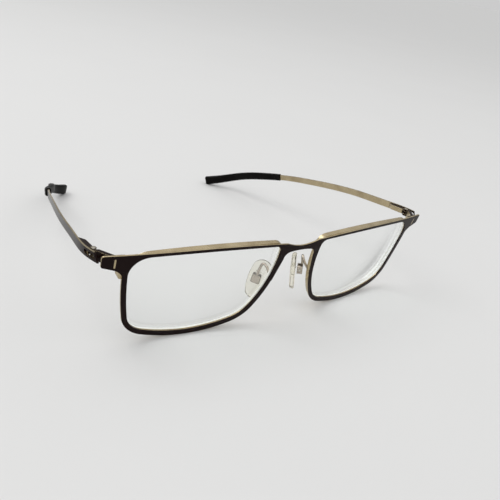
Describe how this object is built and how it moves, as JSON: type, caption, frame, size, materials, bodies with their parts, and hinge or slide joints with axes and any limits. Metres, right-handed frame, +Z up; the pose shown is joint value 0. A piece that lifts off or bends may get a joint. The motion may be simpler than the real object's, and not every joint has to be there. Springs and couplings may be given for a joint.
{
  "type": "spectacles",
  "caption": "Open full-rim metal spectacles with rectangular lenses, rocking nose pads, sprung side hinges and black-sleeved temples.",
  "frame": {"origin": "on the table the open spectacles stand on, under the middle of their bounding box", "axes": "+X to the wearer's left, +Y from the front back along the temples, +Z up"},
  "size_m": [0.1458, 0.1318, 0.0372],
  "materials": {
    "front_lacquer": "very dark brown satin lacquer",
    "champagne_metal": "champagne satin plating",
    "temple_lacquer": "gunmetal-brown satin lacquer outside, champagne inside",
    "lens_resin": "optically clear, coated",
    "pad_silicone": "clear, slightly yellowed silicone",
    "pad_core_plastic": "clear polycarbonate",
    "sleeve_rubber": "matte black",
    "screw_steel": "nickel-plated",
    "spring_steel": "bright drawn wire"
  },
  "bodies": {
    "front": {"front_plate": "front_lacquer", "eyewire_left": "champagne_metal", "eyewire_right": "champagne_metal", "lens_left": "lens_resin", "lens_right": "lens_resin", "upper_closing_block_left": "champagne_metal", "upper_closing_block_right": "champagne_metal", "lower_closing_block_left": "champagne_metal", "lower_closing_block_right": "champagne_metal", "tab_inlay_left": "champagne_metal", "tab_inlay_right": "champagne_metal", "end_piece_left": "champagne_metal", "end_piece_right": "champagne_metal", "hinge_fork_left": "champagne_metal", "hinge_fork_right": "champagne_metal", "pad_arm_left": "champagne_metal", "pad_arm_right": "champagne_metal", "rim_screws": "screw_steel", "hinge_screws": "screw_steel", "pad_screws": "screw_steel"},
    "slider_left": {"hinge_slider_left": "champagne_metal", "guide_rod_left": "screw_steel", "rod_stop_left": "screw_steel"},
    "temple_left": {"temple_left": "temple_lacquer", "temple_sleeve_left": "sleeve_rubber", "hinge_casing_left": "champagne_metal", "flex_spring_left": "spring_steel"},
    "nose_pad_left": {"nose_pad_left": "pad_silicone", "pad_core_left": "pad_core_plastic"},
    "slider_right": {"hinge_slider_right": "champagne_metal", "guide_rod_right": "screw_steel", "rod_stop_right": "screw_steel"},
    "temple_right": {"temple_right": "temple_lacquer", "temple_sleeve_right": "sleeve_rubber", "hinge_casing_right": "champagne_metal", "flex_spring_right": "spring_steel"},
    "nose_pad_right": {"nose_pad_right": "pad_silicone", "pad_core_right": "pad_core_plastic"}
  },
  "joints": [
    {"name": "fold_left", "type": "hinge", "parent": "front", "child": "slider_left", "pos_m": [0.07075, -0.0511, 0.0336], "axis": [0, 0, 1], "range_deg": [-5.5, 74]},
    {"name": "flex_left", "type": "slide", "parent": "slider_left", "child": "temple_left", "axis": [0, 0.9914, -0.1305], "range_m": [0, 0.0015], "stiffness_N_per_m": 800, "springref_m": -0.002, "deforming": ["flex_spring_left"]},
    {"name": "pad_rock_left", "type": "hinge", "parent": "front", "child": "nose_pad_left", "pos_m": [0.01049, -0.05631, 0.01749], "axis": [-0.6645, -0.738, -0.1172], "range_deg": [-10, 10]},
    {"name": "fold_right", "type": "hinge", "parent": "front", "child": "slider_right", "pos_m": [-0.07075, -0.0511, 0.0336], "axis": [0, 0, -1], "range_deg": [-5.5, 70]},
    {"name": "flex_right", "type": "slide", "parent": "slider_right", "child": "temple_right", "axis": [0, 0.9914, -0.1305], "range_m": [0, 0.0015], "stiffness_N_per_m": 800, "springref_m": -0.002, "deforming": ["flex_spring_right"]},
    {"name": "pad_rock_right", "type": "hinge", "parent": "front", "child": "nose_pad_right", "pos_m": [-0.01049, -0.05631, 0.01749], "axis": [-0.6645, 0.738, 0.1172], "range_deg": [-10, 10]}
  ]
}
